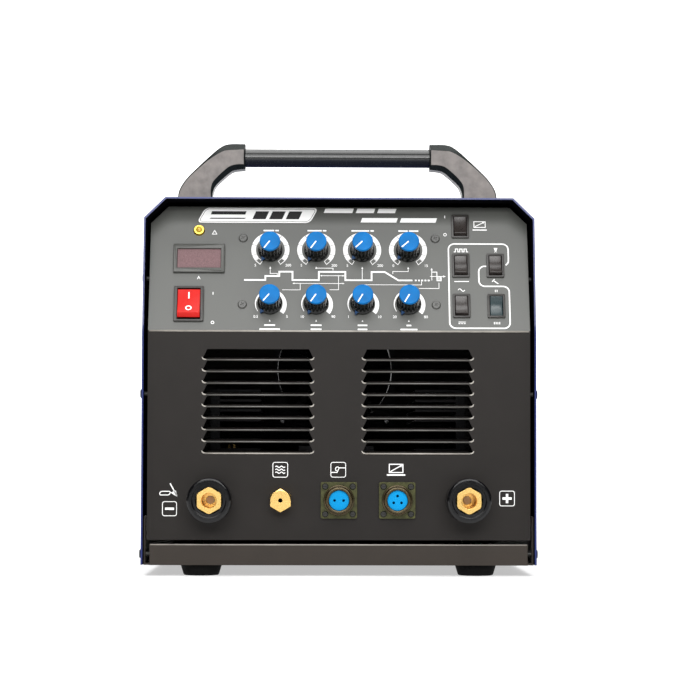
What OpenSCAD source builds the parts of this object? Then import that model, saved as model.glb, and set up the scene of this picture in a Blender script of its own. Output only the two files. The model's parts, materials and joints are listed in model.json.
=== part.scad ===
// TIG welding machine: folded steel case, sloping control panel, carrying handle and power parts.
// The front faces -Y, +Z is up, and the origin is on the ground under the middle of the machine.

/* [Case] */
// Width of the cover over its two sides
case_w = 325; // [318:1:340]
// Length of the cover from front to back
case_len = 470; // [460:1:500]
// Height of the cover's flat top above the ground
case_top = 314; // [313:0.5:316]
// Size of the slope along the cover's top corners
corner = 17.5; // [14:0.5:19]
// Thickness of every folded sheet
sheet = 1.5; // [1.2:0.1:1.6]
// Height of the rubber feet
foot_h = 9; // [7:1:12]

/* [Front panel] */
// Height of the bend between the upright and the sloping panel
bend_z = 202; // [200:1:204]
// Lean of the control panel from upright
tilt = 18; // [15:1:20]
// Length of the control panel up its slope
slope_len = 112; // [111:0.5:113]
// How far the front panel sits behind the cover's edge
inset = 7; // [5:1:9]
// Distance between two louvres
louvre_pitch = 9.65; // [9.2:0.05:9.8]
// Number of louvres in each bank
louvre_count = 9; // [6:1:9]
// Width of a louvre at its foot
louvre_w = 92; // [80:1:94]

/* [Controls] */
// Distance between two knobs in a row
knob_pitch = 38.4; // [34:0.2:39]
// Height of the lower knob row up the slope
knob_row_low = 24.5; // [23:0.5:27]
// Height of the upper knob row up the slope
knob_row_high = 71.8; // [69:0.2:74]
// Height of a knob above the panel
knob_h = 22; // [20:1:24]
// Radius of a knob's skirt
skirt_r = 10.3; // [9.8:0.1:10.8]
// Radius of a potentiometer's shaft
shaft_r = 3; // [2.5:0.1:3.1]
// Lean of a rocker each way from its middle
rocker_lean = 12; // [8:1:12]

/* [Sockets] */
// Height of the row of sockets above the ground
socket_z = 62.4; // [60:1:66]
// Distance from the middle to each output socket
output_x = 106; // [100:1:112]
// Distance from the middle to the gas and remote sockets
signal_x = 48; // [44:1:52]
// Radius of the bore in an output socket
contact_r = 6.5; // [6:0.1:6.6]
// How far the output sockets stand out of the panel
socket_reach = 26; // [24:1:28]

/* [Handle] */
// Height of the handle tube's axis
grip_z = 370.4; // [366:1:374]
// Place of the handle along the case
handle_y = -30; // [-60:5:30]
// Radius of the handle tube
grip_r = 8.3; // [7:0.1:9]
// Half of the tube's length between its two brackets
grip_half = 83.8; // [80:0.1:88]
// Depth of the handle brackets from front to back
bracket_d = 24; // [20:1:28]

/* [Fan] */
// Outside size of the fan's frame
fan_size = 120; // [116:1:120]
// Height of the fan's axis
fan_z = 186; // [176:1:190]
// Depth of the fan's frame
fan_d = 38; // [34:1:38]
// Number of fan blades
blade_count = 7; // [5:1:9]

/* [Hidden] */
$fn = 64;

half_w = case_w / 2;
half_len = case_len / 2;
panel_y = -half_len + inset;      // front face of the upright panel
rear_y = -panel_y;                // rear face of the rear panel
base_z = foot_h;                  // underside of the base
panel_z = base_z + 20.6;          // lower edge of the front and rear panels
flange_z = base_z + 17.3;         // upper edge of the base's end flanges
panel_half = half_w - 4.5;
inner_half = half_w - sheet;
cover_gap = 0.3;
slope_y = panel_y + slope_len * sin(tilt);
slope_z = bend_z + slope_len * cos(tilt);
clear = 0.05;                     // running clearance of a shaft in its hole
fold = 16;                        // depth of a sheet's return flange

knob_names = ["start_current", "weld_current", "base_current", "down_slope",
              "pulse_frequency", "pulse_width", "post_flow", "ac_balance"];
// angle of each knob's pointer from straight down, turning clockwise
knob_rest = [37, 35, 45, 48, 40, 34, 30, 30];

// name, place across the panel, place up the slope, lean at rest
rocker_rows = [
    ["remote_rocker", 101.7, 94.2, -rocker_lean],
    ["pulse_rocker", 101.6, 58.6, -rocker_lean],
    ["process_rocker", 130.5, 58.6, -rocker_lean],
    ["ac_dc_rocker", 101.6, 22.4, -rocker_lean],
    ["trigger_rocker", 130.5, 22.4, rocker_lean]];

function knob_x(i) = (i % 4 - 1.5) * knob_pitch;
function knob_v(i) = i < 4 ? knob_row_high : knob_row_low;

// ---- places ----

// x across, y up the slope, z out of the control panel
module on_slope(x, v) {
    translate([0, panel_y, bend_z])
        rotate([90 - tilt, 0, 0])
            translate([x, v, 0])
                children();
}

// z out of the upright panel, y up
module on_front(x, z) {
    translate([x, panel_y, z])
        rotate([90, 0, 0])
            children();
}

// z out of the rear panel, y up
module on_rear(x, z) {
    translate([x, rear_y, z])
        rotate([-90, 180, 0])
            children();
}

// an outline drawn in y and z, as thick as w across the machine, centred
module across(w) {
    rotate([90, 0, 90])
        translate([0, 0, -w / 2])
            linear_extrude(w)
                children();
}

// an outline drawn in x and z, running from y0 to y1
module along(y0, y1) {
    translate([0, y1, 0])
        rotate([90, 0, 0])
            linear_extrude(y1 - y0)
                children();
}

module both_sides() {
    children();
    mirror([1, 0, 0]) children();
}

module front_and_rear() {
    children();
    mirror([0, 1, 0]) children();
}

// the case's outline seen from the front, with sloping top corners
module case_outline(w, z0, z1, c) {
    polygon([[-w, z0], [w, z0], [w, z1 - c], [w - c, z1], [c - w, z1], [-w, z1 - c]]);
}

// a box with its four upright edges rounded
module rounded_box(w, h, d, r) {
    linear_extrude(d) rounded_rect(w, h, r);
}

module rounded_rect(w, h, r) {
    square([w - 2 * r, h], center = true);
    square([w, h - 2 * r], center = true);
    for (x = [-1, 1], y = [-1, 1]) {
        translate([x * (w / 2 - r), y * (h / 2 - r)]) circle(r);
    }
}

module hexagon_bar(flats, len) {
    rotate(30) cylinder(r = flats / sqrt(3), h = len, $fn = 6);
}

// ---- fasteners of the case ----

// height of each side screw, and its distance from the cover's front or rear edge
front_side_screws = [[18, 15], [150, 15], [247, 32]];
rear_side_screws = [[18, 15], [150, 15], [247, 15]];
foot_x = 114;
foot_y = half_len - 28;
handle_screw_x = [122, 138];
screw_r = 2;
screw_hole_r = 2.2;
bolt_r = 3;

module side_screw_spots() {
    both_sides() {
        for (s = front_side_screws) {
            translate([half_w, s[1] - half_len, s[0]]) rotate([0, 90, 0]) children();
        }
        for (s = rear_side_screws) {
            translate([half_w, half_len - s[1], s[0]]) rotate([0, 90, 0]) children();
        }
    }
}

module side_screw_holes() {
    side_screw_spots() translate([0, 0, -9]) cylinder(r = screw_hole_r, h = 12);
}

module foot_spots() {
    front_and_rear() both_sides() translate([foot_x, foot_y, 0]) children();
}

module handle_screw_spots() {
    both_sides() for (x = handle_screw_x) translate([x, handle_y, case_top]) children();
}

module side_screw() {
    difference() {
        union() {
            cylinder(r1 = 4.4, r2 = 3.2, h = 2);
            translate([0, 0, -8]) cylinder(r = screw_r, h = 8.01);
        }
        for (a = [0, 90]) translate([0, 0, 1.4]) rotate(a) cube([4, 0.8, 1.6], center = true);
    }
}

module case_screws() {
    color("black") side_screw_spots() side_screw();
    color("silver") foot_spots() {
        translate([0, 0, 3]) cylinder(r = 4.5, h = 2.5);
        translate([0, 0, 5.5]) cylinder(r = screw_r, h = 6.5);
    }
    color("silver") handle_screw_spots() {
        translate([0, 0, -sheet - 4]) hexagon_bar(10, 4);
        translate([0, 0, -sheet - 0.01]) cylinder(r = bolt_r, h = 16);
    }
}

// ---- case ----

// folded up, then back in along its top edge
module end_flange(half, end) {
    translate([-half, end, base_z]) cube([2 * half, 4.5, sheet]);
    translate([-half, end + 4.5 - sheet, base_z]) cube([2 * half, sheet, flange_z - base_z]);
    translate([-half, end + 4.5 - 6, flange_z - sheet]) cube([2 * half, 6, sheet]);
}

module base_pan() {
    side = inner_half - cover_gap;
    end = rear_y - 2.5;
    color("dimgray") difference() {
        union() {
            translate([-side, -end, base_z]) cube([2 * side, 2 * end, sheet]);
            both_sides() translate([side - sheet, -end, base_z]) cube([sheet, 2 * end, 40]);
            mirror([0, 1, 0]) end_flange(panel_half - 2.5, end);
            end_flange(side, end);
        }
        side_screw_holes();
        foot_spots() cylinder(r = screw_hole_r, h = 30);
        // rows of air slots in the bottom
        for (x = [-3:3], y = [-1, 1]) {
            translate([x * 22 - 3, y * 60 - 25, base_z - 1]) cube([6, 50, 5]);
        }
    }
}

module side_louvre_slots() {
    for (i = [0:9]) {
        translate([-half_w - 5, 70, 96 + i * 12]) cube([case_w + 10, 90, 4]);
    }
}

module top_cover() {
    c = corner;
    lean = 17;
    color("navy") difference() {
        along(-half_len, half_len) difference() {
            case_outline(half_w, base_z + 0.5, case_top, c);
            translate([0, -1]) case_outline(inner_half, base_z, case_top + 1 - sheet, c - 0.6);
        }
        // above the bend the front edge steps back and leans with the panel
        across(case_w + 10) polygon([
            [-half_len - 5, bend_z + 1], [-half_len + 1.5, bend_z + 1],
            [-half_len + 1.5, bend_z + 4], [-half_len + lean, case_top + 1],
            [-half_len - 5, case_top + 1]]);
        side_louvre_slots();
        side_screw_holes();
        handle_screw_spots() translate([0, 0, -5]) cylinder(r = bolt_r + 0.3, h = 10);
    }
}

// the bank's louvre i counts from the bottom; z is the foot of each opening
louvre_x = [-67, 65];
louvre_z = 101.5;
function louvre_foot(i) = louvre_z + i * louvre_pitch;

module louvre_opening() {
    h = louvre_pitch - sheet;
    w = louvre_w / 2;
    polygon([[-w, 0], [w, 0], [w - 4, h], [4 - w, h]]);
}

module louvre_blade() {
    w = louvre_w / 2 - 1;
    rotate([-80, 0, 0])
        translate([0, 0, -1])
            linear_extrude(1)
                polygon([[-w, 0], [w, 0], [w - 4, 8.5], [4 - w, 8.5]]);
}

module each_louvre() {
    for (x = louvre_x, i = [0:louvre_count - 1]) {
        on_front(x, louvre_foot(i)) children();
    }
}

// the sheet's bend, as an arc between the upright and the sloping face
bend_r = 4;
function bend_arc(r, cy, cz) = [for (a = [0:tilt / 6:tilt]) [cy - r * cos(a), cz + r * sin(a)]];

module panel_profile() {
    cy = panel_y + bend_r;
    cz = bend_z - bend_r * tan(tilt / 2);
    top_in = [slope_y + sheet * cos(tilt), slope_z - sheet * sin(tilt)];
    inner = bend_arc(bend_r - sheet, cy, cz);
    polygon(concat(
        [[panel_y + sheet, panel_z], [panel_y, panel_z]],
        bend_arc(bend_r, cy, cz),
        [[slope_y, slope_z], top_in],
        [for (i = [len(inner) - 1:-1:0]) inner[i]]));
}

module front_return() {
    polygon([[panel_y, panel_z], [panel_y + fold, panel_z], [panel_y + fold, bend_z - 6],
             [slope_y + fold - 4, slope_z - corner], [slope_y - 4.5, slope_z - corner],
             [panel_y + 0.6, bend_z]]);
}

module slope_cutouts() {
    for (i = [0:7]) on_slope(knob_x(i), knob_v(i)) cylinder(r = 3.6, h = 9, center = true);
    for (r = rocker_rows) on_slope(r[1], r[2]) cube([13.6, 19.6, 9], center = true);
    on_slope(main_x, main_v) cube([22.2, 29.2, 9], center = true);
    on_slope(meter_x, meter_v) cube([39.2, 21.2, 9], center = true);
    on_slope(lamp_x, lamp_v) cylinder(r = 4.1, h = 9, center = true);
    board_screw_spots() cylinder(r = 1.7, h = 9, center = true);
}

module front_cutouts() {
    for (x = [-output_x, output_x]) on_front(x, socket_z) cylinder(r = 15.1, h = 9, center = true);
    on_front(-signal_x, socket_z) cylinder(r = 5.1, h = 9, center = true);
    for (x = [0, signal_x]) on_front(x, socket_z) {
        cylinder(r = 10.6, h = 9, center = true);
        flange_corners() cylinder(r = 1.6, h = 9, center = true);
    }
}

module front_panel() {
    color("dimgray") {
        difference() {
            union() {
                intersection() {
                    across(2 * panel_half) panel_profile();
                    along(-half_len, 0) case_outline(panel_half, panel_z, slope_z, corner - 3);
                }
                both_sides() translate([panel_half - sheet / 2, 0, 0]) across(sheet) front_return();
                translate([-panel_half, panel_y, panel_z]) cube([2 * panel_half, fold, sheet]);
            }
            each_louvre() translate([0, 0, -5]) linear_extrude(10) louvre_opening();
            slope_cutouts();
            front_cutouts();
            side_screw_holes();
        }
        each_louvre() translate([0, 0, -0.4]) louvre_blade();
        // rolled foot of each louvre
        for (x = louvre_x, i = [0:louvre_count - 1]) {
            translate([x - louvre_w / 2, panel_y + 0.75, louvre_foot(i) - 0.75])
                rotate([0, 90, 0])
                    cylinder(r = 0.95, h = louvre_w);
        }
    }
}

fan_hole_r = 55;
blade_r = 56;
fan_bolt = 52.5;
inlet_x = -108;
inlet_z = 66;
gland_x = 104;
gland_z = 70;
stud_x = 62;
stud_z = 48;

module fan_bolt_spots() {
    for (x = [-fan_bolt, fan_bolt], z = [-fan_bolt, fan_bolt]) translate([x, z, 0]) children();
}

module rear_panel() {
    color("dimgray") difference() {
        union() {
            along(rear_y - sheet, rear_y) case_outline(panel_half, panel_z, slope_z, corner - 3);
            both_sides() translate([panel_half - sheet, rear_y - fold, panel_z])
                cube([sheet, fold, slope_z - corner - panel_z]);
            translate([-panel_half, rear_y - fold, panel_z]) cube([2 * panel_half, fold, sheet]);
        }
        on_rear(0, fan_z) {
            cylinder(r = fan_hole_r, h = 9, center = true);
            fan_bolt_spots() cylinder(r = 2.3, h = 9, center = true);
        }
        on_rear(inlet_x, inlet_z) cylinder(r = 6.1, h = 9, center = true);
        on_rear(gland_x, gland_z) cylinder(r = 11.1, h = 9, center = true);
        on_rear(stud_x, stud_z) cylinder(r = bolt_r + 0.1, h = 9, center = true);
        side_screw_holes();
    }
}

module foot() {
    difference() {
        cylinder(r1 = 14.5, r2 = 17.3, h = foot_h);
        translate([0, 0, -0.01]) cylinder(r = 6, h = 5.51);
        cylinder(r = screw_hole_r, h = 40);
    }
}

module feet() {
    color("black") foot_spots() foot();
}

// ---- handle ----

collar_z = [grip_z - 11, grip_z + 12];
// distance past the tube, then height; outer side down, then inner side up
bracket_outer = [[0, collar_z[1]], [15, collar_z[1] + 0.4], [22.4, grip_z + 9.6],
                 [33.8, grip_z - 0.8], [50, grip_z - 16.4], [54.2, grip_z - 21.2],
                 [59.6, grip_z - 29.2], [61.4, grip_z - 37], [61.6, case_top]];
bracket_inner = [[29.4, case_top], [30, grip_z - 35.6], [28.6, grip_z - 29.4],
                 [26, grip_z - 24.8], [14, grip_z - 14], [9.6, grip_z - 11.8],
                 [0, collar_z[0]]];

module handle_bracket() {
    difference() {
        translate([grip_half, handle_y, 0])
            along(-bracket_d / 2, bracket_d / 2)
                polygon(concat(bracket_outer, bracket_inner));
        translate([0, handle_y, grip_z]) rotate([0, 90, 0])
            cylinder(r = grip_r + clear, h = grip_half + 18);
        handle_screw_spots() translate([0, 0, -1]) cylinder(r = bolt_r + clear, h = 18);
    }
}

module handle_brackets() {
    color("gray") both_sides() handle_bracket();
}

module handle_tube() {
    color("black") translate([-grip_half - 17.5, handle_y, grip_z]) rotate([0, 90, 0])
        cylinder(r = grip_r, h = 2 * grip_half + 35);
}

// ---- meter and lamp ----

meter_x = -117;
meter_v = 64.2;
lamp_x = -117.5;
lamp_v = 90;

module meter_bezel() {
    color("gray") on_slope(meter_x, meter_v) difference() {
        union() {
            rounded_box(43, 25.5, 2.6, 1);
            translate([0, 0, -12]) linear_extrude(12.01) square([39, 21], center = true);
        }
        translate([0, 0, -13]) linear_extrude(20) square([36.2, 17.2], center = true);
    }
}

module meter_window() {
    color([0.5, 0.3, 0.35]) on_slope(meter_x, meter_v) translate([0, 0, -0.9])
        linear_extrude(1.8) square([36.1, 17.1], center = true);
}

module meter_board() {
    on_slope(meter_x, meter_v) {
        color("green") translate([0, 0, -14.2]) linear_extrude(1.6) square([46, 30], center = true);
        color("black") for (i = [-1:1]) {
            translate([i * 11.6, 0, -12.6]) linear_extrude(9.6) square([11, 15.5], center = true);
        }
    }
}

module lamp_holder() {
    color("gold") on_slope(lamp_x, lamp_v) difference() {
        union() {
            cylinder(r1 = 4.9, r2 = 4.1, h = 2.2);
            translate([0, 0, -9]) cylinder(r = 4, h = 9.01);
        }
        translate([0, 0, -10]) cylinder(r = 2.6, h = 20);
    }
}

module lamp_lens() {
    color("yellow") on_slope(lamp_x, lamp_v) {
        translate([0, 0, -6]) cylinder(r = 2.5, h = 8.5);
        intersection() {
            translate([0, 0, 2.5]) sphere(2.5);
            translate([0, 0, 2.49]) cylinder(r = 3, h = 3);
        }
    }
}

// ---- rocker switches ----

main_x = -124.8;
main_v = 23.4;
main_size = [24.8, 31, 2.4];       // the frame's face and how far it stands out
main_open = [19.4, 27.8];
main_pivot = -3;
small_size = [14.6, 21, 1.8];
small_open = [11.2, 17.8];
small_pivot = -2.2;

module switch_frame(size, open, wall, depth, pivot) {
    difference() {
        union() {
            rounded_box(size[0], size[1], size[2], 1);
            translate([0, 0, -depth]) linear_extrude(depth + 0.01)
                square([open[0] + 2 * wall, open[1] + 2 * min(wall, 0.7)], center = true);
        }
        translate([0, 0, -depth + 1.5]) linear_extrude(depth + 5) square(open, center = true);
        translate([0, 0, pivot]) rotate([0, 90, 0])
            cylinder(r = 1 + clear, h = size[0] + 4, center = true);
    }
    // three terminal blades
    for (y = [-1:1]) {
        translate([0, y * open[1] * 0.3, -depth - 7]) linear_extrude(7)
            square([open[0] * 0.35, 0.8], center = true);
    }
}

// the rocker's two faces meet in a shallow valley, and its ends follow a circle about the pin
module rocker(open, r, pivot, lean, top, bottom) {
    rise = r * tan(rocker_lean);
    translate([0, 0, pivot]) rotate([lean, 0, 0]) translate([0, 0, -pivot]) {
        intersection() {
            rotate([90, 0, 90]) translate([0, 0, -(open[0] - 0.8) / 2]) linear_extrude(open[0] - 0.8)
                polygon([[-r, top + rise], [0, top], [r, top + rise], [r, 0], [r * 0.5, bottom],
                         [-r * 0.5, bottom], [-r, 0]]);
            translate([0, 0, pivot]) rotate([0, 90, 0]) cylinder(r = r, h = 40, center = true);
        }
        translate([0, 0, pivot]) rotate([0, 90, 0])
            cylinder(r = 1, h = open[0] + 2, center = true);
    }
}

module main_switch_frame() {
    color("dimgray") on_slope(main_x, main_v)
        switch_frame(main_size, main_open, 1.3, 18, main_pivot);
}

module main_rocker() {
    color("red") on_slope(main_x, main_v)
        rocker(main_open, 13.5, main_pivot, -rocker_lean, 1.8, -9);
}

module mode_switch_frames() {
    color("dimgray") for (r = rocker_rows) on_slope(r[1], r[2])
        switch_frame(small_size, small_open, 1.1, 14, small_pivot);
}

module mode_rocker(row) {
    color("black") on_slope(row[1], row[2])
        rocker(small_open, 8.5, small_pivot, row[3], 1.2, -6);
}

// ---- knobs and their potentiometers ----

cap_h = 3;
flutes = 18;

module knob_outline() {
    difference() {
        circle(8.9);
        for (i = [0:flutes - 1]) rotate(i * 360 / flutes) translate([9.1, 0]) circle(0.8, $fn = 24);
    }
}

module knob(i) {
    color("black") on_slope(knob_x(i), knob_v(i)) rotate(-90 - knob_rest[i]) {
        difference() {
            union() {
                translate([0, 0, 0.8]) cylinder(r = skirt_r, h = 1.6);
                translate([0, 0, 2.39]) cylinder(r1 = skirt_r, r2 = 8.9, h = 1.2);
                translate([0, 0, 3.5]) linear_extrude(knob_h - cap_h - 3.5) knob_outline();
                translate([0, 0, 0.8]) linear_extrude(3)
                    polygon([[8, -3], [skirt_r + 2, -0.6], [skirt_r + 2, 0.6], [8, 3]]);
            }
            cylinder(r = 5.2, h = 6);
            cylinder(r = shaft_r + 0.02, h = knob_h - cap_h - 3);
        }
        translate([0, 0, -11]) cylinder(r = shaft_r, h = knob_h - cap_h + 7);
    }
}

module knob_cap(i) {
    color("dodgerblue") on_slope(knob_x(i), knob_v(i)) rotate(-90 - knob_rest[i])
        difference() {
            union() {
                translate([0, 0, knob_h - cap_h]) cylinder(r = 8.6, h = cap_h - 0.6);
                translate([0, 0, knob_h - 0.61]) cylinder(r1 = 8.6, r2 = 8, h = 0.61);
            }
            // the pointer's groove
            translate([1.5, -0.4, knob_h - 0.3]) cube([9, 0.8, 1]);
        }
}

module potentiometers() {
    color("silver") for (i = [0:7]) on_slope(knob_x(i), knob_v(i)) difference() {
        union() {
            translate([0, 0, -12]) cylinder(r = 8, h = 9);
            translate([0, 0, -3.01]) cylinder(r = 3.5, h = 7.5);
        }
        translate([0, 0, -11.5]) cylinder(r = shaft_r + clear, h = 20);
    }
}

module board_screw_spots() {
    for (x = [-80.5, 80.5], v = [23.2, 83]) on_slope(x, v) children();
}

module control_board() {
    color("green") difference() {
        on_slope(0, 53) {
            translate([0, 0, -13.6]) linear_extrude(1.6) square([176, 84], center = true);
            translate([0, 0, -20]) linear_extrude(6.4) square([26, 26], center = true);
            for (x = [-1, 1]) {
                translate([x * 52, 0, -24]) linear_extrude(10.4) square([12, 40], center = true);
            }
        }
        board_screw_spots() translate([0, 0, -20]) cylinder(r = 1.7, h = 20);
    }
}

module board_screws() {
    color("gray") board_screw_spots() difference() {
        union() {
            cylinder(r1 = 3.9, r2 = 3, h = 1.5);
            translate([0, 0, -16]) cylinder(r = 1.5, h = 16.01);
        }
        for (a = [30, 120]) rotate(a) translate([0, 0, 1.5]) cube([3.6, 0.7, 1.4], center = true);
    }
}

// ---- front sockets ----

// outline of a collar, radius against reach, turned about the socket's axis
module collar_profile() {
    rim = 2;
    polygon(concat(
        [[11.2, -12], [15, -12], [15, 0], [18.3, 0], [18.3, socket_reach - rim]],
        [for (a = [0:15:90]) [18.3 - rim + rim * cos(a), socket_reach - rim + rim * sin(a)]],
        [[14.2, socket_reach], [13.6, socket_reach - 3], [11.2, socket_reach - 3]]));
}

module output_collars() {
    color("black") for (x = [-output_x, output_x]) on_front(x, socket_z)
        rotate_extrude() collar_profile();
}

module output_contacts() {
    front = socket_reach - 2;
    for (x = [-output_x, output_x]) on_front(x, socket_z) {
        color("gold") difference() {
            union() {
                intersection() {
                    translate([0, 0, -12]) hexagon_bar(19.7, front + 12);
                    translate([0, 0, -13]) cylinder(r = 10.8, h = 50);
                }
                translate([0, 0, -38]) cylinder(r = 5, h = 27);
            }
            translate([0, 0, front - 28]) cylinder(r = contact_r, h = 40);
            translate([0, 0, front - 32]) cylinder(r = 3.45, h = 8);
        }
        color("silver") translate([0, 0, front - 31.9]) cylinder(r = 3.4, h = 3.8);
    }
}

module gas_outlet() {
    color("gold") on_front(-signal_x, socket_z) difference() {
        union() {
            hexagon_bar(16.8, 13);
            intersection() {
                translate([0, 0, 12.99]) hexagon_bar(16.8, 1.4);
                translate([0, 0, 12.9]) cylinder(r1 = 9.8, r2 = 8.1, h = 1.5);
            }
            translate([0, 0, -14]) cylinder(r = 5, h = 14.01);
            translate([0, 0, -6.5]) hexagon_bar(15, 5);
        }
        translate([0, 0, -15]) cylinder(r = 1.8, h = 40);
    }
}

module flange_corners() {
    for (x = [-11.3, 11.3], y = [-11.3, 11.3]) translate([x, y, 0]) children();
}

module socket_shell(x) {
    color([0.36, 0.34, 0.16]) on_front(x, socket_z) difference() {
        union() {
            rounded_box(30, 30, 2.6, 1.5);
            cylinder(r = 10.3, h = 12);
            translate([0, 0, -10]) cylinder(r = 10.3, h = 10.01);
            for (i = [0:3]) translate([0, 0, 4 + i * 1.8]) rotate_extrude()
                polygon([[9.5, 0], [10.3, 0], [10.8, 0.45], [10.3, 0.9], [9.5, 0.9]]);
        }
        translate([0, 0, -11]) cylinder(r = 8.5, h = 30);
        flange_corners() translate([0, 0, -1]) cylinder(r = 1.6, h = 9);
    }
}

// pin holes lie on a circle, with a key rib at the top
module socket_insert(x, pins, start) {
    color("deepskyblue") on_front(x, socket_z) difference() {
        union() {
            translate([0, 0, -14]) cylinder(r = 7.7, h = 24);
            translate([0, 0, -14]) cylinder(r = 8.45, h = 12);
            translate([-1, 7, -14]) cube([2, 1.4, 24]);
        }
        for (i = [0:pins - 1]) rotate(start + i * 360 / pins) translate([3.7, 0, 3])
            cylinder(r = 1.1, h = 9);
    }
}

module socket_screws() {
    color("silver") for (x = [0, signal_x]) on_front(x, socket_z) flange_corners() {
        difference() {
            translate([0, 0, 2.6]) cylinder(r1 = 2.7, r2 = 2, h = 1.5);
            translate([0, 0, 4]) cube([6, 0.6, 1], center = true);
        }
        translate([0, 0, -5]) cylinder(r = 1.5, h = 7.61);
    }
}

// ---- rear fittings ----

module fan_frame() {
    strut = blade_r + 3;
    color("black") on_rear(0, fan_z) translate([0, 0, -sheet - fan_d]) {
        difference() {
            union() {
                // the frame's two square flanges with a round duct between them
                difference() {
                    union() {
                        rounded_box(fan_size, fan_size, 5, 5);
                        translate([0, 0, fan_d - 5]) rounded_box(fan_size, fan_size, 5, 5);
                        cylinder(r = fan_size / 2 - 0.5, h = fan_d);
                        fan_bolt_spots() cylinder(r = 4.5, h = fan_d);
                    }
                    translate([0, 0, -1]) cylinder(r = blade_r + 1.5, h = fan_d + 2);
                }
                cylinder(r = 20, h = 4);
                cylinder(r = 6, h = 24);
                for (a = [45:90:315]) rotate(a) translate([12, -3, 0.5]) cube([strut - 12, 6, 3]);
            }
            translate([0, 0, 6]) cylinder(r = 2 + clear, h = 40);
            fan_bolt_spots() translate([0, 0, -1]) cylinder(r = 2.2, h = fan_d + 2);
        }
    }
}

// a flat blade that widens outward, so that seen along the axis the blades leave no gap
module fan_blade() {
    root = 10.5;
    tip = 33;
    intersection() {
        rotate([28, 0, 0]) translate([0, 0, -0.9]) linear_extrude(1.8)
            polygon([[17, -root], [blade_r + 2, -tip], [blade_r + 2, tip], [17, root]]);
        translate([0, 0, -40]) cylinder(r = blade_r, h = 80);
    }
}

module fan_rotor() {
    color("dimgray") on_rear(0, fan_z) translate([0, 0, -sheet - fan_d]) {
        difference() {
            translate([0, 0, 6]) cylinder(r = 19.5, h = 28);
            translate([0, 0, 5]) cylinder(r = 17.5, h = 26);
        }
        translate([0, 0, 8]) cylinder(r = 2, h = 24);
        difference() {
            for (i = [0:blade_count - 1]) rotate(i * 360 / blade_count) translate([0, 0, 20]) fan_blade();
            cylinder(r = 18.5, h = 40);
        }
    }
}

module ring(r, wire) {
    rotate_extrude() translate([r, 0]) circle(wire, $fn = 24);
}

module fan_guard() {
    wire = 1;
    color("silver") on_rear(0, fan_z) {
        translate([0, 0, 3.5]) for (r = [24.5, 35, 45.5, 56]) ring(r, wire);
        translate([0, 0, 2.5]) cylinder(r = 15, h = 2);
        translate([0, 0, 1.9]) difference() {
            for (a = [45:90:315]) rotate(a) rotate([0, 90, 0]) cylinder(r = wire, h = 74);
            cylinder(r = 13, h = 9, center = true);
        }
        fan_bolt_spots() {
            difference() {
                cylinder(r = 5, h = 1.9);
                translate([0, 0, -1]) cylinder(r = 2.3, h = 9);
            }
            translate([0, 0, 2.9]) cylinder(r = 4, h = 2.4);
            translate([0, 0, -12]) cylinder(r = screw_r, h = 15);
        }
    }
}

// a hose tail with a nut, turned about its axis
module gas_inlet() {
    color("gold") on_rear(inlet_x, inlet_z) difference() {
        union() {
            translate([0, 0, -12]) cylinder(r = 6, h = 12.01);
            hexagon_bar(19, 7);
            translate([0, 0, 6.9]) cylinder(r = 4, h = socket_reach - 6.9);
            for (i = [0:2]) translate([0, 0, 10 + i * 5]) cylinder(r1 = 5.2, r2 = 4, h = 4.5);
        }
        translate([0, 0, -13]) cylinder(r = 2.5, h = 60);
    }
}

module cable_gland() {
    color("black") on_rear(gland_x, gland_z) difference() {
        union() {
            translate([0, 0, -14]) cylinder(r = 11, h = 14.01);
            hexagon_bar(28, 8);
            translate([0, 0, 7.9]) cylinder(r1 = 12.5, r2 = 9.5, h = 14);
            translate([0, 0, -8.5]) hexagon_bar(28, 6.5);
        }
        translate([0, 0, -15]) cylinder(r = 6, h = 60);
    }
}

module earth_stud() {
    color("silver") on_rear(stud_x, stud_z) {
        translate([0, 0, -14]) cylinder(r = bolt_r, h = 32);
        difference() {
            union() {
                cylinder(r = 6, h = 1.2);
                translate([0, 0, 1.2]) hexagon_bar(10, 5);
                translate([0, 0, -sheet - 5]) hexagon_bar(10, 5);
            }
            translate([0, 0, -20]) cylinder(r = bolt_r, h = 40);
        }
    }
}

// ---- inside ----

board_z = base_z + 31;
base_top = base_z + sheet;

module spacer_spots() {
    for (x = [-120, 120], y = [-130, 0, 130]) translate([x, y, base_top]) children();
}

// the board and the six spacers that hold it over the base
module power_board() {
    color("green") difference() {
        translate([-132, -150, board_z]) cube([264, 300, 2]);
        spacer_spots() cylinder(r = 2, h = 40);
    }
    color("ivory") spacer_spots() cylinder(r = 4, h = board_z - base_top);
}

// a finned extrusion as long as len, with its fins pointing to the middle of the case
module heat_sink(len) {
    fins = 14;
    h = 112;
    translate([0, len / 2, 0]) rotate([90, 0, 0]) linear_extrude(len) {
        square([8, h]);
        for (i = [0:fins - 1]) translate([7, i * (h - 2) / (fins - 1)]) square([36, 2]);
    }
}

module heat_sinks() {
    color("silver") both_sides() translate([-110, -40, board_z + 4]) {
        heat_sink(190);
        for (y = [-70, 70]) translate([0, y - 5, -2]) cube([8, 10, 2.01]);
    }
}

module main_transformer() {
    z = board_z + 2;
    color([0.2, 0.2, 0.22]) translate([0, 0, z]) {
        difference() {
            translate([-35, 20, 0]) cube([70, 60, 66]);
            for (x = [-24, 8]) translate([x, 19, 14]) cube([16, 62, 38]);
        }
    }
    color("chocolate") translate([0, 50, z + 33]) difference() {
        translate([-23.5, -36, -18.5]) cube([47, 72, 37]);
        translate([-8.2, -31, -20]) cube([16.4, 62, 40]);
    }
}

module output_choke() {
    color("chocolate") translate([0, -95, board_z + 31.6]) rotate([90, 0, 0])
        rotate_extrude() translate([20, 0]) circle(9.5);
}

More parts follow.
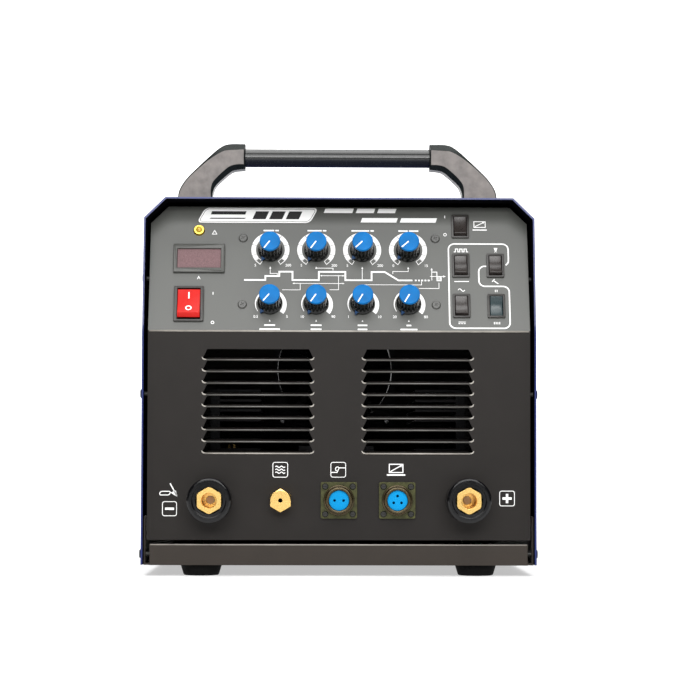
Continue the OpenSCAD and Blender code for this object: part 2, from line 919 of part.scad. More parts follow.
module capacitors() {
    color("navy") for (x = [-1, 1]) translate([x * 24, -30, board_z + 2]) cylinder(r = 14, h = 50);
    color("navy") for (x = [-1, 0, 1]) translate([x * 32, 112, board_z + 2]) cylinder(r = 14, h = 50);
}

module gas_valve() {
    color("gold") translate([inlet_x - 14, 160, inlet_z - 12]) difference() {
        cube([28, 50, 22]);
        translate([14, -1, 12]) rotate([-90, 0, 0]) cylinder(r = 2.5, h = 60);
    }
    color("black") translate([inlet_x, 182, inlet_z + 10]) cylinder(r = 13, h = 34);
}

// ---- the assembly ----

base_pan();
top_cover();
front_panel();
rear_panel();
handle_tube();
handle_brackets();
feet();
case_screws();
meter_bezel();
meter_window();
meter_board();
lamp_holder();
lamp_lens();
main_switch_frame();
main_rocker();
mode_switch_frames();
for (row = rocker_rows) {
    mode_rocker(row);
}
for (i = [0:7]) {
    knob(i);
    knob_cap(i);
}
potentiometers();
control_board();
board_screws();
output_collars();
output_contacts();
gas_outlet();
socket_shell(0);  // torch_socket_shell
socket_insert(0, 2, 0);  // torch_socket_insert
socket_shell(signal_x);  // remote_socket_shell
socket_insert(signal_x, 3, 90);  // remote_socket_insert
socket_screws();
fan_frame();
fan_rotor();
fan_guard();
gas_inlet();
cable_gland();
gas_valve();
power_board();
heat_sinks();
main_transformer();
output_choke();
capacitors();
earth_stud();
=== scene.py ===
import json
import math

import bmesh
import bpy
from mathutils import Matrix, Vector

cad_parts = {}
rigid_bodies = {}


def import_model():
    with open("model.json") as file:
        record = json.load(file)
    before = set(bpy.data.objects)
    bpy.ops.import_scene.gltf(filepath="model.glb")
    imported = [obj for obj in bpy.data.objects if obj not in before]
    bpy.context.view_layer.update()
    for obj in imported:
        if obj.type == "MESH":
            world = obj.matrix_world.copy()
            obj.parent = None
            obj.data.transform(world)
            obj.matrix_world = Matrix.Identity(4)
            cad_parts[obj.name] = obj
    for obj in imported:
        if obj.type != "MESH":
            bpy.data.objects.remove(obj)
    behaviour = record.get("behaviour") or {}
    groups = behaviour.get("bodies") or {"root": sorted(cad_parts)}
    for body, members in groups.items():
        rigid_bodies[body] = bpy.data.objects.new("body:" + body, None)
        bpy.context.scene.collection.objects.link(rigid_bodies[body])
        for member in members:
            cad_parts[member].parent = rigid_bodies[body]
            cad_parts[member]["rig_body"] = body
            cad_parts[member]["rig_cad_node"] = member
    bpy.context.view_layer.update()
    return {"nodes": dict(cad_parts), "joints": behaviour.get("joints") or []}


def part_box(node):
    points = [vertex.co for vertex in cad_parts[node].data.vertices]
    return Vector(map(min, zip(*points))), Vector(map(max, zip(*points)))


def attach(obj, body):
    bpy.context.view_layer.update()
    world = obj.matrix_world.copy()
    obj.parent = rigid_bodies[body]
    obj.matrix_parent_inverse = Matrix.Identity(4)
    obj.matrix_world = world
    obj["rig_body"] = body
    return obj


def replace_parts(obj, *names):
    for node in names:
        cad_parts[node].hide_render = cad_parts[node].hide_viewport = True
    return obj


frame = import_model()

# ---------------------------------------------------------------- places taken from the frame

NODES = frame["nodes"]
JOINTS = {j["name"]: j for j in frame["joints"]}
MM = 0.001

KNOB_NAMES = ["start_current", "weld_current", "base_current", "down_slope",
              "pulse_frequency", "pulse_width", "post_flow", "ac_balance"]
TOP_ROW = 4                                      # knobs in the upper row, the first ones named
KNOB_REST = [37, 35, 45, 48, 40, 34, 30, 30]     # pointer's angle from straight down, clockwise
MODE_ROCKERS = ["remote_rocker", "pulse_rocker", "process_rocker", "ac_dc_rocker", "trigger_rocker"]
KNOB_JOINT_HEIGHT = 10                           # of a knob's joint above the panel, mm
LOW_ROW = 24.5                                   # lower knob row's height up the slope, mm
KNOB_HEIGHT = 22
ROCKER_LEAN = 12                                 # a latched rocker's tilt, degrees
FLANGE_LEAD = 2                                  # the base's flange stands this far before the panel
SOCKET_Z = 62.4                                  # of all five sockets
OUTPUT_X = 106                                   # of the outputs, each side of the middle
SIGNAL_X = 48                                    # of the remote socket; the torch socket is at 0
CASE_HEART_Z = 0.16                              # height of the case's long axis, m
INK = 0.09                                       # thickness of the printing, mm


def joint_place(name):
    return Vector(JOINTS[name]["pos_m"])


def plane(origin, x_axis, y_axis):
    """Matrix from millimetres on a plane, x across, y up and z out of it, to the row's metres."""
    x, y = Vector(x_axis).normalized(), Vector(y_axis).normalized()
    z = x.cross(y)
    turn = Matrix((x, y, z)).transposed().to_4x4()
    return Matrix.Translation(origin) @ turn @ Matrix.Scale(MM, 4)


SLOPE_OUT = -Vector(JOINTS["start_current_turn"]["axis"]).normalized()
SLOPE_UP = SLOPE_OUT.cross(Vector((1, 0, 0)))
low_knob = joint_place("pulse_frequency_turn")
bend = low_knob - SLOPE_OUT * KNOB_JOINT_HEIGHT * MM - SLOPE_UP * LOW_ROW * MM
bend.x = 0
SLOPE = plane(bend, (1, 0, 0), SLOPE_UP)
FRONT_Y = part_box("base_pan")[0].y + FLANGE_LEAD * MM
FRONT = plane((0, FRONT_Y, 0), (1, 0, 0), (0, 0, 1))
KNOB_SPOTS = [SLOPE.inverted() @ joint_place(n + "_turn") for n in KNOB_NAMES]


# ---------------------------------------------------------------- materials

def node_material(name):
    mat = bpy.data.materials.new(name)
    mat.use_nodes = True
    nodes = mat.node_tree.nodes
    return mat, nodes, mat.node_tree.links, nodes["Principled BSDF"]


def noise(nodes, links, coords, scale, detail, stretch):
    """A cloud of values, finer with a larger scale."""
    mapping = nodes.new("ShaderNodeMapping")
    mapping.inputs["Scale"].default_value = stretch
    links.new(coords, mapping.inputs["Vector"])
    tex = nodes.new("ShaderNodeTexNoise")
    tex.inputs["Scale"].default_value = scale
    tex.inputs["Detail"].default_value = detail
    links.new(mapping.outputs["Vector"], tex.inputs["Vector"])
    return tex.outputs["Fac"]


def spread(nodes, links, value, low, high):
    """Takes noise, which lies mostly between 0.3 and 0.7, to the range from low to high."""
    ranged = nodes.new("ShaderNodeMapRange")
    ranged.inputs["From Min"].default_value = 0.3
    ranged.inputs["From Max"].default_value = 0.7
    ranged.inputs["To Min"].default_value = low
    ranged.inputs["To Max"].default_value = high
    links.new(value, ranged.inputs["Value"])
    return ranged.outputs["Result"]


def surface(name, color, rough, metal=0.0, coat=0.0, vary=0.12, rough_vary=0.06, grain=900,
            bump=0.08, bump_mm=0.05, blotch=35, stretch=(1, 1, 1), edge_mm=0.0, specular=0.5):
    """A procedural finish: blotchy colour, uneven gloss and a fine grain, in the object's own metres."""
    mat, nodes, links, shader = node_material(name)
    coords = nodes.new("ShaderNodeTexCoord").outputs["Object"]
    dark = [c * (1 - vary) for c in color]
    light = [min(1, c * (1 + vary)) for c in color]
    mix = nodes.new("ShaderNodeMix")
    mix.data_type = "RGBA"
    mix.inputs["A"].default_value = (*dark, 1)
    mix.inputs["B"].default_value = (*light, 1)
    blotches = noise(nodes, links, coords, blotch, 5.0, stretch)
    links.new(spread(nodes, links, blotches, 0, 1), mix.inputs["Factor"])
    links.new(mix.outputs["Result"], shader.inputs["Base Color"])
    fine = noise(nodes, links, coords, grain, 2.0, stretch)
    links.new(spread(nodes, links, fine, rough - rough_vary, rough + rough_vary),
              shader.inputs["Roughness"])
    relief = nodes.new("ShaderNodeBump")
    relief.inputs["Strength"].default_value = bump
    relief.inputs["Distance"].default_value = bump_mm * MM
    links.new(fine, relief.inputs["Height"])
    if edge_mm:
        round_edge = nodes.new("ShaderNodeBevel")
        round_edge.samples = 4
        round_edge.inputs["Radius"].default_value = edge_mm * MM
        links.new(round_edge.outputs["Normal"], relief.inputs["Normal"])
    links.new(relief.outputs["Normal"], shader.inputs["Normal"])
    shader.inputs["Metallic"].default_value = metal
    shader.inputs["Coat Weight"].default_value = coat
    shader.inputs["Coat Roughness"].default_value = 0.08
    shader.inputs["Specular IOR Level"].default_value = specular
    return mat


MAT = {
    "panel": surface("panel_paint", (0.014, 0.012, 0.0108), 0.38, vary=0.06, edge_mm=0.5, bump=0.05),
    "base": surface("base_paint", (0.027, 0.021, 0.0165), 0.38, vary=0.06, edge_mm=0.6, bump=0.12,
                    specular=0.25),
    # painted highlights, blotchy, for the light caught by rolled edges and folds
    "edge": surface("painted_highlight", (0.3, 0.28, 0.25), 0.35, vary=0.2, blotch=90),
    "cover": surface("cover_paint", (0.0, 0.009, 0.1), 0.34, vary=0.08, edge_mm=0.6, bump=0.08),
    "bracket": surface("bracket_paint", (0.15, 0.132, 0.12), 0.42, vary=0.28, blotch=120, bump=0.35,
                       grain=900, bump_mm=0.2, edge_mm=0.6),
    # painted shade on the handle brackets' bevels
    "bracket_edge": surface("bracket_bevel_shade", (0.012, 0.015, 0.014), 0.3, vary=0.2, blotch=120,
                            edge_mm=0.6, specular=0.1),
    "tube": surface("tube_paint", (0.012, 0.013, 0.012), 0.22, vary=0.1),
    "rubber": surface("foot_rubber", (0.003, 0.003, 0.003), 0.7, bump=0.3, specular=0.1),
    "steel": surface("zinc_steel", (0.5, 0.5, 0.5), 0.3, metal=1.0, vary=0.15),
    # near white: painted light for the bolt end deep in each output's bore, where little light reaches
    "bolt": surface("bright_bolt", (0.85, 0.88, 0.9), 0.55, vary=0.1),
    "black_screw": surface("blacked_steel", (0.03, 0.03, 0.028), 0.35, metal=0.6),
    "painted_screw": surface("painted_screw", (0.06, 0.06, 0.056), 0.34, bump=0.05),
    "bezel": surface("bezel_plastic", (0.042, 0.043, 0.038), 0.4, edge_mm=0.4, bump=0.15),
    "window": surface("window_plastic", (0.14, 0.075, 0.08), 0.4, vary=0.22, grain=1800, blotch=900,
                      specular=0.25),
    "board": surface("board_laminate", (0.02, 0.11, 0.05), 0.4),
    "chip": surface("chip_plastic", (0.02, 0.02, 0.02), 0.5),
    "lamp_ring": surface("lamp_ring", (0.66, 0.45, 0.08), 0.3, metal=1.0, edge_mm=0.3),
    "lamp": surface("lamp_lens", (0.6, 0.38, 0.03), 0.12, coat=0.6, vary=0.35, blotch=500),
    "switch": surface("switch_plastic", (0.022, 0.02, 0.018), 0.4, edge_mm=0.4, bump=0.15,
                      specular=0.4),
    "rocker": surface("rocker_plastic", (0.03, 0.025, 0.023), 0.3, edge_mm=0.5, bump=0.1),
    "teal_rocker": surface("teal_rocker_plastic", (0.01, 0.024, 0.028), 0.3, edge_mm=0.5, bump=0.1),
    "red_rocker": surface("red_rocker_plastic", (0.5, 0.014, 0.011), 0.36, vary=0.06, edge_mm=0.6,
                          specular=0.14),
    "knob": surface("knob_plastic", (0.001, 0.0015, 0.0012), 0.2, specular=0.35),
    "cap": surface("cap_plastic", (0.0, 0.115, 0.34), 0.32, vary=0.14, blotch=110, edge_mm=0.3,
                   specular=0.1),
    "nib": surface("nib_paint", (0.0, 0.03, 0.1), 0.4, specular=0.3),
    "collar": surface("collar_plastic", (0.002, 0.002, 0.0025), 0.14, edge_mm=0.4, specular=0.35),
    "brass": surface("brass", (0.9, 0.6, 0.2), 0.26, metal=1.0, vary=0.08, edge_mm=0.35, bump=0.02,
                     rough_vary=0.03),
    "bore": surface("bore_brass", (0.92, 0.56, 0.16), 0.45, metal=0.8, bump=0.02),
    "olive": surface("olive_plating", (0.045, 0.046, 0.013), 0.34, metal=0.5, vary=0.35, blotch=300,
                     edge_mm=0.3),
    "brown": surface("brown_plating", (0.055, 0.042, 0.02), 0.28, metal=0.7, vary=0.2, blotch=300),
    "insert": surface("insert_plastic", (0.0, 0.25, 0.56), 0.4, vary=0.05, specular=0.1, edge_mm=0.2),
    "ink": surface("white_print", (0.86, 0.86, 0.85), 0.55, vary=0.04, specular=0.2),
    "gap": surface("dark_gap", (0.004, 0.004, 0.004), 0.7),
    "fan": surface("fan_plastic", (0.008, 0.008, 0.009), 0.45, specular=0.25),
    "wire": surface("plated_wire", (0.62, 0.62, 0.64), 0.2, metal=1.0),
    # near black: black anodising, made darker still as a painted shade for the inside seen through the
    # louvres
    "sink": surface("anodising_and_shade", (0.004, 0.004, 0.005), 0.5, stretch=(1, 0.05, 1),
                    specular=0.12),
    # painted highlight along the louvres' rolled feet
    "lip": surface("louvre_lip_highlight", (0.1, 0.098, 0.09), 0.35, vary=0.3, blotch=60),
    "core": surface("ferrite", (0.05, 0.05, 0.055), 0.6, bump=0.4),
    "winding": surface("copper_winding", (0.4, 0.15, 0.04), 0.3, metal=0.6, blotch=300),
    "sleeve": surface("capacitor_sleeve", (0.015, 0.02, 0.08), 0.35, coat=0.3),
}


def paint_inside_shade(mat, heart_z):
    """The faces that look in at the case's long axis are painted a dull black without shine: a painted
    shade for the cover's dark inside.
    """
    nodes, links = mat.node_tree.nodes, mat.node_tree.links
    shader = nodes["Principled BSDF"]
    place = nodes.new("ShaderNodeNewGeometry")
    from_axis = nodes.new("ShaderNodeVectorMath")
    from_axis.operation = "SUBTRACT"
    from_axis.inputs[1].default_value = (0, 0, heart_z)
    links.new(place.outputs["Position"], from_axis.inputs[0])
    flat = nodes.new("ShaderNodeVectorMath")
    flat.operation = "MULTIPLY"
    flat.inputs[1].default_value = (1, 0, 1)
    links.new(from_axis.outputs["Vector"], flat.inputs[0])
    facing = nodes.new("ShaderNodeVectorMath")
    facing.operation = "DOT_PRODUCT"
    links.new(flat.outputs["Vector"], facing.inputs[0])
    links.new(place.outputs["True Normal"], facing.inputs[1])
    inside = nodes.new("ShaderNodeMath")
    inside.operation = "LESS_THAN"
    inside.inputs[1].default_value = -0.01       # less than nothing, so that edge-on faces stay painted
    links.new(facing.outputs["Value"], inside.inputs[0])
    mix = nodes.new("ShaderNodeMix")
    mix.data_type = "RGBA"
    # the painted shade: near black for the faces inside the cover
    mix.inputs["B"].default_value = (0.003, 0.003, 0.004, 1)
    links.new(shader.inputs["Base Color"].links[0].from_socket, mix.inputs["A"])
    links.new(inside.outputs["Value"], mix.inputs["Factor"])
    links.new(mix.outputs["Result"], shader.inputs["Base Color"])
    shine = nodes.new("ShaderNodeMapRange")
    shine.inputs["To Min"].default_value = 0.5
    shine.inputs["To Max"].default_value = 0.0
    links.new(inside.outputs["Value"], shine.inputs["Value"])
    links.new(shine.outputs["Result"], shader.inputs["Specular IOR Level"])


def paint_slope_light(mat, color, rough):
    """The faces along the control panel's slope get a paler and a little shinier copy of the paint:
    painted light for the light the slope catches from above, while the upright keeps the duller paint.
    """
    nodes, links = mat.node_tree.nodes, mat.node_tree.links
    shader = nodes["Principled BSDF"]
    place = nodes.new("ShaderNodeNewGeometry")
    facing = nodes.new("ShaderNodeVectorMath")
    facing.operation = "DOT_PRODUCT"
    facing.inputs[1].default_value = SLOPE_OUT
    links.new(place.outputs["True Normal"], facing.inputs[0])
    lit_face = nodes.new("ShaderNodeMath")
    lit_face.operation = "GREATER_THAN"
    lit_face.inputs[1].default_value = 0.999         # the cosine for faces that lie along the slope
    links.new(facing.outputs["Value"], lit_face.inputs[0])
    for socket, value in (("Base Color", (*color, 1)), ("Roughness", rough)):
        mix = nodes.new("ShaderNodeMix")
        mix.data_type = "RGBA" if socket == "Base Color" else "FLOAT"
        first, second = [i for i in mix.inputs if i.enabled and i.name in "AB"]
        second.default_value = value
        links.new(shader.inputs[socket].links[0].from_socket, first)
        links.new(lit_face.outputs["Value"], mix.inputs["Factor"])
        result = [o for o in mix.outputs if o.enabled][0]
        links.new(result, shader.inputs[socket])
    shine = nodes.new("ShaderNodeMapRange")
    shine.inputs["To Min"].default_value = 0.16
    shine.inputs["To Max"].default_value = 0.5
    links.new(lit_face.outputs["Value"], shine.inputs["Value"])
    links.new(shine.outputs["Result"], shader.inputs["Specular IOR Level"])


# painted shade on the inside of the cover
paint_inside_shade(MAT["cover"], CASE_HEART_Z)
# painted light: the slope's faces get the paler, shinier copy of the paint
paint_slope_light(MAT["panel"], (0.062, 0.064, 0.058), 0.37)

NODE_FINISH = {
    "base_pan": "base", "top_cover": "cover", "front_panel": "panel", "rear_panel": "panel",
    "handle_tube": "tube", "handle_brackets": "bracket", "feet": "rubber", "case_screws": "black_screw",
    "meter_bezel": "bezel", "meter_window": "window", "meter_board": "board", "lamp_holder": "lamp_ring",
    "lamp_lens": "lamp", "main_switch_frame": "switch", "main_rocker": "red_rocker",
    "mode_switch_frames": "switch", "potentiometers": "steel", "control_board": "board",
    "board_screws": "painted_screw", "output_collars": "collar", "output_contacts": "brass",
    "gas_outlet": "brass", "torch_socket_shell": "olive", "torch_socket_insert": "insert",
    "remote_socket_shell": "olive", "remote_socket_insert": "insert", "socket_screws": "black_screw",
    "fan_frame": "fan", "fan_rotor": "fan", "fan_guard": "wire", "gas_inlet": "brass",
    "cable_gland": "chip", "gas_valve": "brass", "power_board": "board", "heat_sinks": "sink",
    "main_transformer": "core", "output_choke": "winding", "capacitors": "sleeve",
    "earth_stud": "steel",
}
NODE_FINISH.update({n: "rocker" for n in MODE_ROCKERS})
NODE_FINISH["trigger_rocker"] = "teal_rocker"
NODE_FINISH.update({n + "_knob": "knob" for n in KNOB_NAMES})
NODE_FINISH.update({n + "_cap": "cap" for n in KNOB_NAMES})
for node_name, finish in NODE_FINISH.items():
    mesh = NODES[node_name].data
    mesh.materials.clear()
    mesh.materials.append(MAT[finish])


# ---------------------------------------------------------------- mesh helpers

def piece(name, verts, faces, place, finish, body="root", slot=None, smooth=False):
    """A closed mesh in millimetres on a plane, put in the row's metres and carried by a body."""
    mesh = bpy.data.meshes.new(name)
    mesh.from_pydata([place @ Vector(v) for v in verts], [], faces)
    bm = bmesh.new()
    bm.from_mesh(mesh)
    bmesh.ops.remove_doubles(bm, verts=bm.verts, dist=1e-7)
    bmesh.ops.recalc_face_normals(bm, faces=bm.faces)
    bm.to_mesh(mesh)
    bm.free()
    obj = bpy.data.objects.new(name, mesh)
    bpy.context.scene.collection.objects.link(obj)
    mesh.materials.append(MAT[finish])
    for polygon in mesh.polygons:
        polygon.use_smooth = smooth
    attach(obj, body)
    return obj


class Print:
    """Flat printing on a plane, gathered into one mesh and drawn in millimetres."""

    def __init__(self, top=INK, floor=0.0):
        self.verts, self.faces, self.top, self.floor = [], [], top, floor

    def plate(self, outline):
        """A filled outline, given anticlockwise or clockwise."""
        n, b = len(outline), len(self.verts)
        self.verts += [(x, y, self.floor) for x, y in outline] + [(x, y, self.top) for x, y in outline]
        self.faces += [tuple(range(b + n - 1, b - 1, -1)), tuple(range(b + n, b + 2 * n))]
        self.faces += [(b + i, b + (i + 1) % n, b + n + (i + 1) % n, b + n + i) for i in range(n)]

    def band(self, left, right, closed=False):
        """A strip between two rails with the same number of points."""
        n, b = len(left), len(self.verts)
        for z in (self.floor, self.top):
            self.verts += [(x, y, z) for x, y in left] + [(x, y, z) for x, y in right]
        for i in range(n if closed else n - 1):
            j = (i + 1) % n
            low = (b + i, b + j, b + n + j, b + n + i)
            high = tuple(v + 2 * n for v in low)
            self.faces += [low[::-1], high, (low[0], low[1], high[1], high[0]),
                           (low[2], low[3], high[3], high[2])]
        if not closed:
            for i in (0, n - 1):
                self.faces.append((b + i, b + n + i, b + 3 * n + i, b + 2 * n + i))

    def line(self, points, width, closed=False):
        """A line with mitred corners."""
        left, right = [], []
        count = len(points)
        for i, point in enumerate(points):
            here = Vector(point)
            before = Vector(points[i - 1]) if closed or i else None
            after = Vector(points[(i + 1) % count]) if closed or i < count - 1 else None
            come = (here - before).normalized() if before is not None else None
            go = (after - here).normalized() if after is not None else None
            come, go = come or go, go or come
            normal = Vector((-come.y - go.y, come.x + go.x)).normalized()
            reach = width / 2 / max(0.5, normal.dot(Vector((-go.y, go.x))))
            left.append(tuple(here + normal * reach))
            right.append(tuple(here - normal * reach))
        self.band(left, right, closed)

    def ring_sector(self, cx, cy, inner, outer, start, end, steps=24):
        """Angles in degrees from straight down, clockwise; a radius is a number or (first, last)."""
        left, right = [], []
        for i in range(steps + 1):
            t = i / steps
            a = math.radians(-90 - start - (end - start) * t)
            for rail, r in ((left, inner), (right, outer)):
                if isinstance(r, tuple):
                    r = r[0] + (r[1] - r[0]) * t
                rail.append((cx + r * math.cos(a), cy + r * math.sin(a)))
        self.band(left, right)

    def arrow(self, x, y, direction, size=1.6):
        """An arrowhead with its tip at (x, y)."""
        d = Vector(direction).normalized() * size
        side = Vector((-d.y, d.x)) * 0.45
        tip = Vector((x, y))
        self.plate([tuple(tip), tuple(tip - d + side), tuple(tip - d - side)])

    def number(self, text, x, y, size):
        """A dial's number, centred on (x, y)."""
        curve = bpy.data.curves.new("number", "FONT")
        curve.body, curve.size, curve.extrude = text, size, (self.top - self.floor) / 2
        curve.align_x, curve.align_y = "CENTER", "CENTER"
        holder = bpy.data.objects.new("number", curve)
        bpy.context.scene.collection.objects.link(holder)
        bpy.context.view_layer.update()
        mesh = holder.evaluated_get(bpy.context.evaluated_depsgraph_get()).to_mesh()
        b, lift = len(self.verts), (self.top + self.floor) / 2
        self.verts += [(v.co.x + x, v.co.y + y, v.co.z + lift) for v in mesh.vertices]
        self.faces += [tuple(b + i for i in p.vertices) for p in mesh.polygons]
        bpy.data.objects.remove(holder)
        bpy.data.curves.remove(curve)

    def build(self, name, place, finish="ink", slot=None):
        return piece(name, self.verts, self.faces, place, finish, slot=slot)


def rounded(cx, cy, w, h, r, steps=5, lean=0.0):
    """Points of a rounded rectangle, with its top shifted sideways by lean."""
    points = []
    for sx, sy, a0 in ((1, 1, 0), (-1, 1, 90), (-1, -1, 180), (1, -1, 270)):
        for i in range(steps + 1):
            a = math.radians(a0 + 90 * i / steps)
            x = sx * (w / 2 - r) + r * math.cos(a)
            y = sy * (h / 2 - r) + r * math.sin(a)
            points.append((cx + x + lean * y / h, cy + y))
    return points


def arc(cx, cy, r, a0, a1, steps=8):
    """Points on a circle, from angle a0 to a1 in degrees, anticlockwise from +x."""
    return [(cx + r * math.cos(math.radians(a0 + (a1 - a0) * i / steps)),
             cy + r * math.sin(math.radians(a0 + (a1 - a0) * i / steps))) for i in range(steps + 1)]


def lathe(profile, segments, radius=lambda r, z, a: r):
    """Verts and faces of a solid turned about z, from (radius, height) points.

    The points run from axis to axis, or, for a ring, round to the first one again.
    """
    verts, faces, rings = [], [], []
    for r, z in profile:
        if r < 1e-6:
            rings.append([len(verts)])
            verts.append((0, 0, z))
            continue
        rings.append(list(range(len(verts), len(verts) + segments)))
        for i in range(segments):
            a = 2 * math.pi * i / segments
            q = radius(r, z, a)
            verts.append((q * math.cos(a), q * math.sin(a), z))
    for low, high in zip(rings, rings[1:]):
        for i in range(segments):
            j = (i + 1) % segments
            if len(low) == 1:
                faces.append((low[0], high[i], high[j]))
            elif len(high) == 1:
                faces.append((low[i], low[j], high[0]))
            else:
                faces.append((low[i], low[j], high[j], high[i]))
    return verts, faces


def skin(count, rings):
    """Faces between rings of count points each, one after another, with a flat face at both ends."""
    faces = []
    for start in range(0, (rings - 1) * count, count):
        for i in range(count):
            j = (i + 1) % count
            faces.append((start + i, start + j, start + count + j, start + count + i))
    last = (rings - 1) * count
    faces += [tuple(range(count)), tuple(range(last, last + count))]
    return faces


def refined(node, width_mm, segments):
    """A copy of a CAD node with rounded edges, which stands for it."""
    source = NODES[node]
    obj = source.copy()
    obj.data = source.data.copy()
    obj.name = "fine_" + node
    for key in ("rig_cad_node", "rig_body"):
        if key in obj:
            del obj[key]
    bpy.context.scene.collection.objects.link(obj)
    bm = bmesh.new()
    bm.from_mesh(obj.data)
    bmesh.ops.remove_doubles(bm, verts=bm.verts, dist=2e-6)
    bmesh.ops.dissolve_limit(bm, angle_limit=math.radians(2), verts=bm.verts, edges=bm.edges)
    bm.to_mesh(obj.data)
    bm.free()
    bevel = obj.modifiers.new("edges", "BEVEL")
    bevel.width = width_mm * MM
    bevel.segments = segments
    bevel.limit_method = "ANGLE"
    bevel.angle_limit = math.radians(30)
    bevel.harden_normals = True
    for polygon in obj.data.polygons:
        polygon.use_smooth = True
    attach(obj, source["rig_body"])
    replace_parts(obj, node)
    return obj


# ---------------------------------------------------------------- handle and case

HANDLE_Y = -30                                   # of the tube's axis
BRACKET_HALF_DEPTH = 12
COLLAR_BEVEL = 1.4                               # how far the bevel runs in from the tube's end
TUBE_END = 83.8                                  # of the handle tube's bare length, from the middle
# the bracket's outline: distance past the tube's end, height, and the width of the bevel there
BRACKET = [(0, 382.4, 5.6), (15, 382.8, 6.4), (22.4, 380, 5.0), (33.8, 369.6, 1.8), (50, 354, 1.0),
           (54.2, 349.2, 1.0), (59.6, 341.2, 1.0), (61.4, 333.4, 0.8), (61.6, 314.0, 0.6),
           (29.4, 314.0, 0.6), (30, 334.8, 1.4), (28.6, 341, 2.8), (26, 345.6, 4.2),
           (14, 356.4, 4.6), (9.6, 358.6, 4.6), (0, 359.4, 4.4)]
# these corners of it stay sharp
BRACKET_CORNERS = ((0, 382.4), (61.6, 314.0), (29.4, 314.0), (0, 359.4))


def eased(points, corners):
    """Cuts every corner of a closed outline in four, but for the named ones."""
    for _ in range(2):
        cut, count = [], len(points)
        for i, here in enumerate(points):
            if here[:2] in corners:
                cut.append(here)
                continue
            for other in (points[i - 1], points[(i + 1) % count]):
                cut.append(tuple(a + (b - a) * 0.25 for a, b in zip(here, other)))
        points = cut
    return points


def handle_bracket(name, side):
    """A cast bracket, on the left for side -1 and on the right for 1.

    Its edges are bevelled wide at the tube and hardly at all at its foot, and the bevels are painted
    darker
    than its two flat sides: a painted shade.
    """
    outline = eased(BRACKET, BRACKET_CORNERS)
    count = len(outline)
    flush, inset = [], []
    for i, (x, z, bevel) in enumerate(outline):
        here = Vector((x, z))
        come = (here - Vector(outline[i - 1][:2])).normalized()
        go = (Vector(outline[(i + 1) % count][:2]) - here).normalized()
        inward = Vector((come.y + go.y, -come.x - go.x)).normalized()
        inward *= bevel / max(0.6, inward.dot(Vector((go.y, -go.x))))
        if x == 0:
            inward.x = COLLAR_BEVEL
        flush.append((x, z, bevel * 0.8))
        inset.append((x + inward.x, z + inward.y, 0.0))
    verts = []
    for ring, end in ((inset, -1), (flush, -1), (flush, 1), (inset, 1)):
        verts += [(side * (TUBE_END + x), HANDLE_Y + end * (BRACKET_HALF_DEPTH - drop), z)
                  for x, z, drop in ring]
    faces = skin(count, 4)
    bracket = piece(name, verts, faces, Matrix.Scale(MM, 4), "bracket_edge", slot="bracket_paint",
                    smooth=True)
    bracket.data.materials.append(MAT["bracket"])
    for polygon in bracket.data.polygons:
        if len(polygon.vertices) > 4:            # the two flat sides
            polygon.material_index = 1
    bracket.data.set_sharp_from_angle(angle=math.radians(24))
    return bracket


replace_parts(handle_bracket("left_handle_bracket", -1), "handle_brackets")
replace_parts(handle_bracket("right_handle_bracket", 1), "handle_brackets")
for node_name, edge_width, edge_steps in (
        ("feet", 1.2, 3), ("meter_bezel", 0.5, 2), ("main_switch_frame", 0.45, 2),
        ("mode_switch_frames", 0.4, 2), ("main_rocker", 0.7, 3)):
    refined(node_name, edge_width, edge_steps)


def mode_rocker(name):
    """A rocker whose face is one smooth hollow between its two ends."""
    half_w, reach, top, rise, floor, pivot_drop = 5.2, 8.5, 1.2, 1.8, -6.0, 2.2
    lean = -ROCKER_LEAN if JOINTS[name + "_tilt"]["range_deg"][0] < 0 else ROCKER_LEAN
    pivot = SLOPE.inverted() @ joint_place(name + "_tilt")
    place = SLOPE @ Matrix.Translation(pivot) @ Matrix.Rotation(math.radians(-lean), 4, "X")
    outline = [(reach * t / 10, top + rise * (t / 10) ** 2) for t in range(-10, 11)]
    ends = [math.asin(rise * 1.6 / reach), 0.1, -0.15]
    outline += [(reach * math.cos(a) + 0.05, reach * math.sin(a) - pivot_drop + 0.9) for a in ends]
    outline += [(reach * 0.5, floor), (-reach * 0.5, floor)]
    outline += [(-reach * math.cos(a) - 0.05, reach * math.sin(a) - pivot_drop + 0.9)
                for a in reversed(ends)]
    # the two sides are eased: distance across, and how far the edge drops there
    rails = ((-half_w, 0.5), (-half_w + 0.15, 0.15), (-half_w + 0.5, 0.0),
             (half_w - 0.5, 0.0), (half_w - 0.15, 0.15), (half_w, 0.5))
    verts = []
    for x, drop in rails:
        verts += [(x, y * (1 - drop * 0.04), z + pivot_drop - (drop if z > 0 else 0))
                  for y, z in outline]
    faces = skin(len(outline), len(rails))
    finish = "teal_rocker" if name == "trigger_rocker" else "rocker"
    face = piece(name + "_face", verts, faces, place, finish, name, "switch_plastic", smooth=True)
    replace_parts(face, name)


for rocker_name in MODE_ROCKERS:
    mode_rocker(rocker_name)


